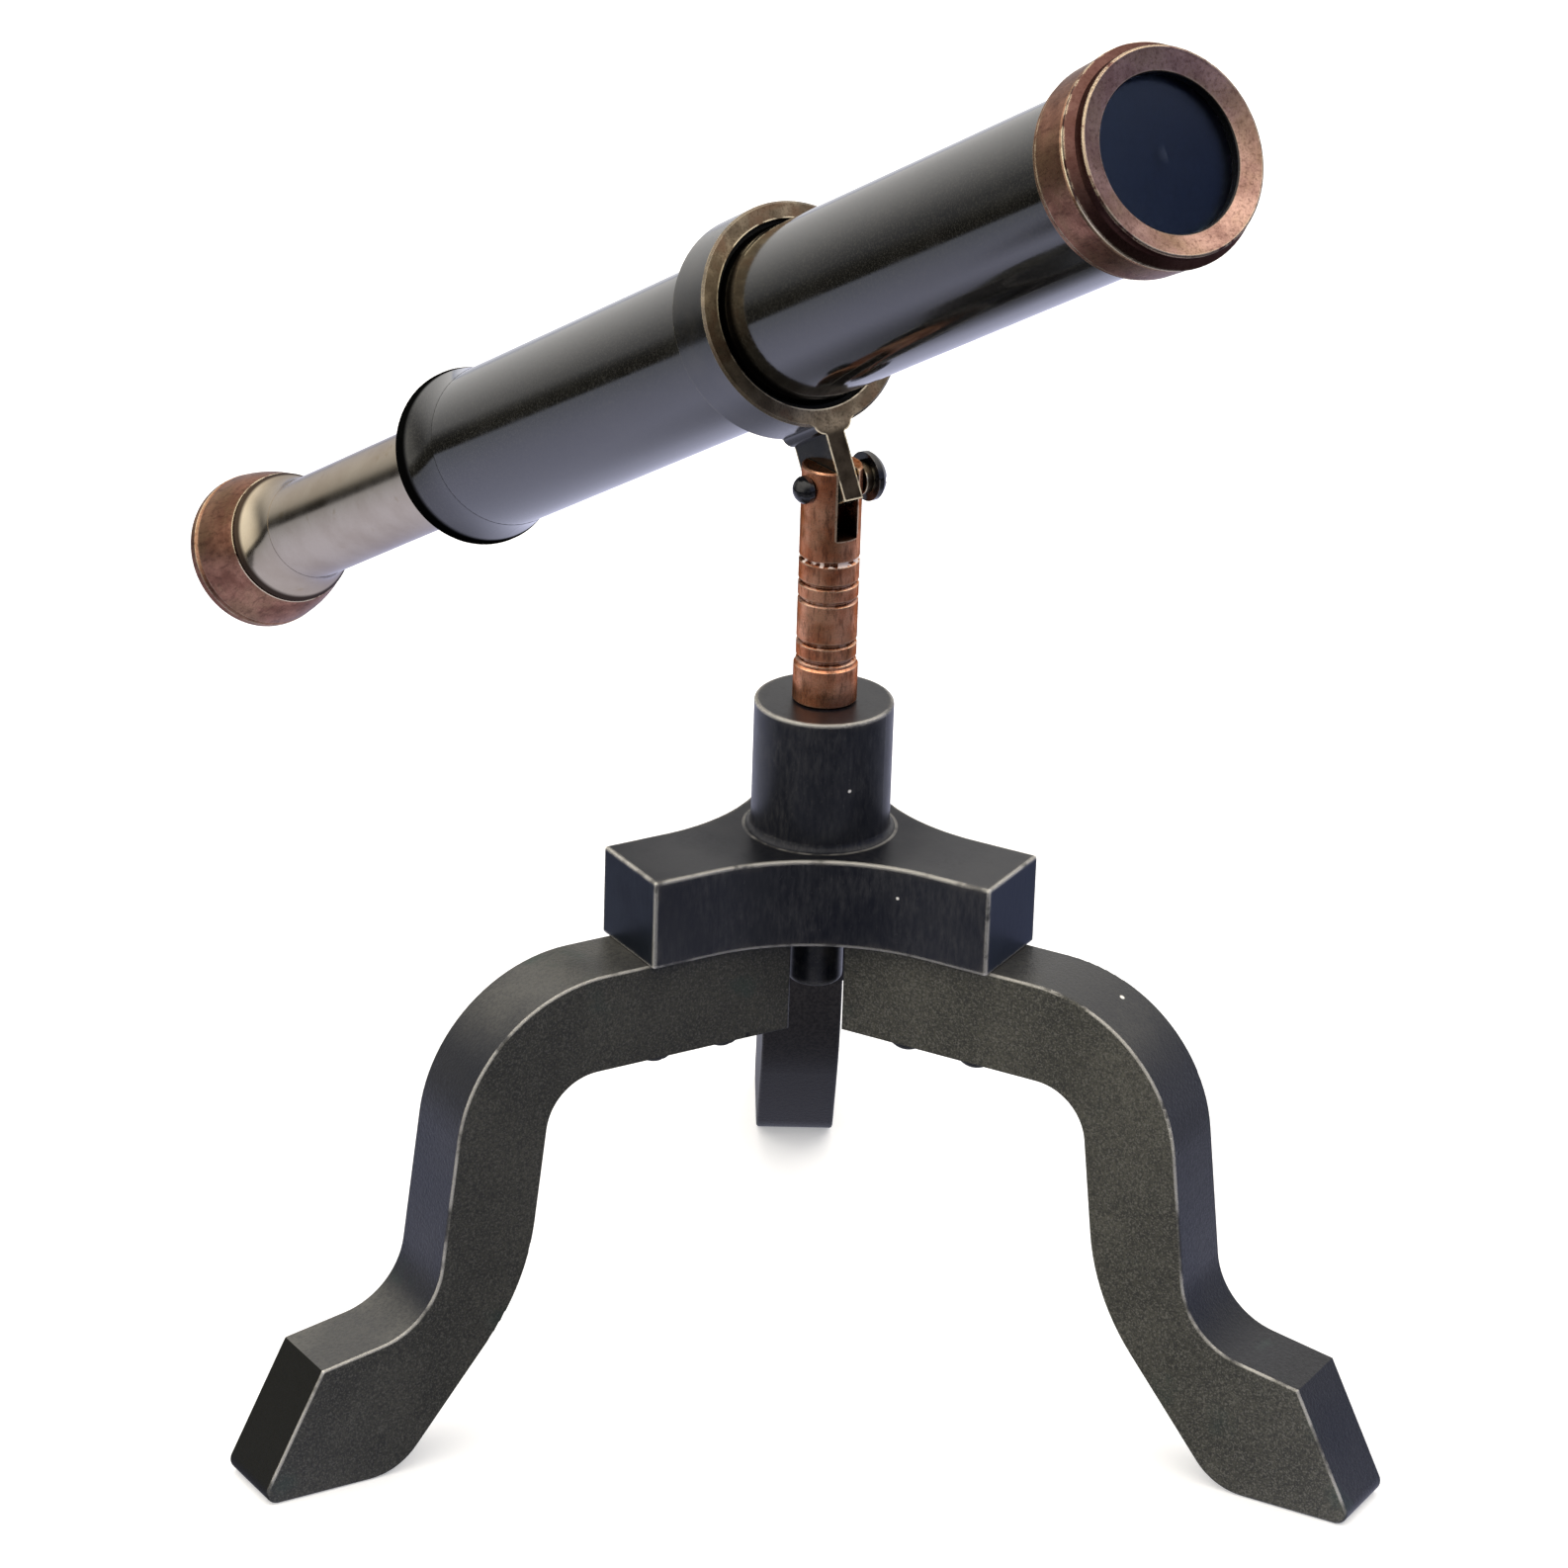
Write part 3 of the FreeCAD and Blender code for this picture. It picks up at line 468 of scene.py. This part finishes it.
dress(blackened_tube(), "rear_barrel", "front_barrel", "rear_collar")
dress(blackened_turned(), "hub", "swivel_nut")
# The legs are one shape from one mould. Each gets its own painted light on its cheeks and tops, its own painted
# shade on the toe's end, and its own rim colour.
dress(blackened_cast("blackened_cast_1", azimuth_of_leg(1), cheek_light=1.68, shoulder_light=0.74, toe_top_light=0.02, toe_end_shade=0.0, brown=0.0),
      "leg_1")
dress(blackened_cast("blackened_cast_2", azimuth_of_leg(2), cheek_light=1.0, shoulder_light=0.8, toe_top_light=0.8, toe_end_shade=0.0, brown=0.8),
      "leg_2")
dress(blackened_cast("blackened_cast_3", azimuth_of_leg(3), cheek_light=1.10, shoulder_light=1.0, toe_top_light=1.2, toe_end_shade=1.0, brown=0.0),
      "leg_3")
dress(aged_copper("aged_copper_post", False, dark=(0.66, 0.23, 0.11), light=(1.0, 0.50, 0.30), shaft=4.55), "post")
dress(aged_copper("aged_copper_tube", True, dark=(0.18, 0.08, 0.052), light=(0.36, 0.18, 0.12)),
      "objective_cell", "eyepiece_cup")
dress(aged_copper("aged_copper_bezel", True, dark=(0.29, 0.165, 0.135), light=(0.50, 0.31, 0.25), bore=11.3),
      "objective_bezel")
dress(aged_brass("aged_brass_ring", True), "mount_ring")
dress(aged_brass("aged_brass_washers", False), "swivel_washer", "pivot_washer")
dress(pale_brass(), "draw_tube", "draw_ferrule")
dress(inner_brass(), "barrel_coupling", "draw_stop_ring", "eye_lens_ring", "field_lens_cell", "erector_tube")
dress(black_steel(), "pivot_screw", "pivot_nut",
      *[f"leg_{number}_screw_{side}" for number in LEGS for side in ("inner", "outer")])
dress(black_liner("black_liner"), "ring_liner")
dress(black_liner("black_liner_metal"), "light_stop", "erector_stop")
dress(lens_glass(), "objective_lens", "eye_lens", "field_lens", "erector_lens_rear", "erector_lens_front")


# Surroundings. They are fixed in the room, as seen by a photographer standing in direction NEAR of the telescope.
AZIMUTH = 0.935
NEAR = Vector((math.sin(AZIMUTH), -math.cos(AZIMUTH), 0))
RIGHT = Vector((math.cos(AZIMUTH), math.sin(AZIMUTH), 0))
WINDOW = (NEAR * 0.35 - RIGHT * 0.75 + UP * 0.55).normalized()


class Room:
    """Nodes for the soft light of the room, shared by the world and by what the table sends up to the object."""

    def __init__(self, tree):
        self.tree = tree

    def node(self, kind, operation=None, *inputs):
        made = self.tree.nodes.new(kind)
        if operation:
            made.operation = operation
        for socket, value in zip(made.inputs, inputs):
            self.feed(socket, value)
        return made

    def feed(self, socket, value):
        if isinstance(value, bpy.types.NodeSocket):
            self.tree.links.new(socket, value)
        else:
            socket.default_value = value

    def along(self, place, direction):
        return self.node("ShaderNodeVectorMath", "DOT_PRODUCT", place, direction).outputs["Value"]

    def span(self, value, low, high):
        made = self.node("ShaderNodeMapRange")
        made.interpolation_type = "SMOOTHSTEP"
        for key, given in {"Value": value, "From Min": low, "From Max": high}.items():
            self.feed(made.inputs[key], given)
        return made.outputs["Result"]

    def both(self, a, b):
        return self.node("ShaderNodeMath", "MULTIPLY", a, b).outputs[0]

    def mix(self, share, a, b):
        made = self.node("ShaderNodeMix")
        made.data_type = "RGBA"
        for index, given in ((0, share), (6, a), (7, b)):
            self.feed(made.inputs[index], (*given, 1) if isinstance(given, tuple) else given)
        return made.outputs[2]

    def light(self, towards):
        """The room's brightness in a direction: pale backdrop, dim near side, bluish right, bright soft top."""
        near_side, right_side = (0.10, 0.105, 0.12), (0.34, 0.38, 0.56)
        backdrop, window, ceiling = (1.0, 0.98, 0.96), (1.5, 1.45, 1.35), (2.2, 2.1, 1.95)
        level = self.mix(self.span(self.along(towards, RIGHT), 0.1, 0.75), near_side, right_side)
        level = self.mix(self.span(self.along(towards, NEAR), -0.25, -0.90), level, backdrop)
        level = self.mix(self.span(self.along(towards, WINDOW), 0.55, 0.95), level, window)
        return self.mix(self.span(self.along(towards, UP), 0.30, 0.95), level, ceiling)


world = bpy.data.worlds.new("soft_studio")
bpy.context.scene.world = world
world.use_nodes = True
room = Room(world.node_tree)
lit = room.light(room.node("ShaderNodeTexCoord").outputs["Generated"])
room.feed(world.node_tree.nodes["Background"].inputs["Color"],
          room.mix(room.node("ShaderNodeLightPath").outputs["Is Camera Ray"], lit, WHITE))

# Floor: a plain pale table. What it sends up to the object is a little blue, dimmer on the near side and to the
# sides, with a painted shadow of the stand round the post, and ends at the table's left and near edges. Past the left
# edge there is a dark gap before the room's own light.
FLOOR_SIZE, FLOOR_DROP = 12, 0.0001
bpy.ops.mesh.primitive_plane_add(size=FLOOR_SIZE, location=POST - UP * FLOOR_DROP)
floor = bpy.context.object
floor.name = "floor"
table = bpy.data.materials.new("pale_table")
table.use_nodes = True
table.cycles.emission_sampling = "NONE"
floor.data.materials.append(table)
room = Room(table.node_tree)
place = room.node("ShaderNodeTexCoord").outputs["Object"]
across, nearer = room.along(place, RIGHT), room.along(place, NEAR)
beyond = room.light(room.node("ShaderNodeVectorMath", "NORMALIZE", place).outputs["Vector"])
gap = room.both(room.span(across, -1.1, -0.5), room.span(nearer, -1.2, -0.7))
beyond = room.mix(gap, beyond, (0.03, 0.03, 0.03))
top = room.mix(room.span(nearer, -0.7, -0.4), (0.93, 0.94, 1.02), (0.84, 0.86, 1.12))
top = room.mix(room.span(across, -0.40, -0.12), (0.54, 0.57, 0.68), top)
top = room.mix(room.span(nearer, 0.08, 0.16), top, (0.34, 0.34, 0.37))
right_part = room.both(room.span(nearer, -0.22, -0.10), room.span(across, 0.12, 0.20))
top = room.mix(right_part, top, (0.20, 0.21, 0.26))
left_part = room.both(room.span(nearer, 0.0, 0.03), room.span(across, -0.12, -0.20))
top = room.mix(left_part, top, (0.16, 0.165, 0.20))
# The stand's shadow, painted into what the table sends up: darker within 13 cm of the post.
from_post = room.node("ShaderNodeVectorMath", "LENGTH", place).outputs["Value"]
top = room.mix(room.span(from_post, 0.13, 0.04), top, (0.16, 0.165, 0.19))
on_table = room.both(room.span(across, -0.42, -0.385), room.span(nearer, 0.31, 0.24))
sent = room.node("ShaderNodeEmission", None, room.mix(on_table, beyond, top))

# To the camera the table is plain and nearly white, with the object's soft shadow on it.
table.node_tree.nodes.remove(table.node_tree.nodes["Principled BSDF"])
tooth = room.node("ShaderNodeTexNoise")
tooth.inputs["Scale"].default_value = 300
shaded = room.node("ShaderNodeBsdfDiffuse", None, room.mix(tooth.outputs[0], (0.80, 0.80, 0.80), (0.84, 0.84, 0.84)))
own = room.node("ShaderNodeEmission", None, (*WHITE, 1), 0.35)
seen = room.node("ShaderNodeAddShader", None, shaded.outputs[0], own.outputs[0])
surface = room.node("ShaderNodeMixShader", None, room.node("ShaderNodeLightPath").outputs["Is Camera Ray"],
                    sent.outputs[0], seen.outputs[0])
# From below the table is clear, so that the underside can be seen through it.
clear = room.node("ShaderNodeBsdfTransparent")
surface = room.node("ShaderNodeMixShader", None, room.node("ShaderNodeNewGeometry").outputs["Backfacing"],
                    surface.outputs[0], clear.outputs[0])
room.feed(table.node_tree.nodes["Material Output"].inputs["Surface"], surface.outputs[0])

# Camera: how far it stands from the post's axis and above the table, in metres, and how far it looks down, turns
# aside and leans, in radians.
DISTANCE, HEIGHT = 0.934456, 0.5016
PITCH, YAW, ROLL = 0.410, -0.006, 0.033
camera = bpy.data.objects.new("camera", bpy.data.cameras.new("camera"))
bpy.context.scene.collection.objects.link(camera)
bpy.context.scene.camera = camera
camera.data.sensor_width, camera.data.lens = 36, 155.5
forward = Vector((math.sin(YAW) * math.cos(PITCH), math.cos(YAW) * math.cos(PITCH), -math.sin(PITCH)))
level = Vector((math.cos(YAW), -math.sin(YAW), 0))
upright = level.cross(forward)
right = math.cos(ROLL) * level + math.sin(ROLL) * upright
up = math.cos(ROLL) * upright - math.sin(ROLL) * level
look = Matrix((right, up, -forward)).transposed().to_4x4()
camera.matrix_world = (Matrix.Translation(POST) @ Matrix.Rotation(AZIMUTH, 4, "Z")
                       @ Matrix.Translation((0, -DISTANCE, HEIGHT)) @ look)
bpy.context.scene.view_settings.view_transform = "Standard"
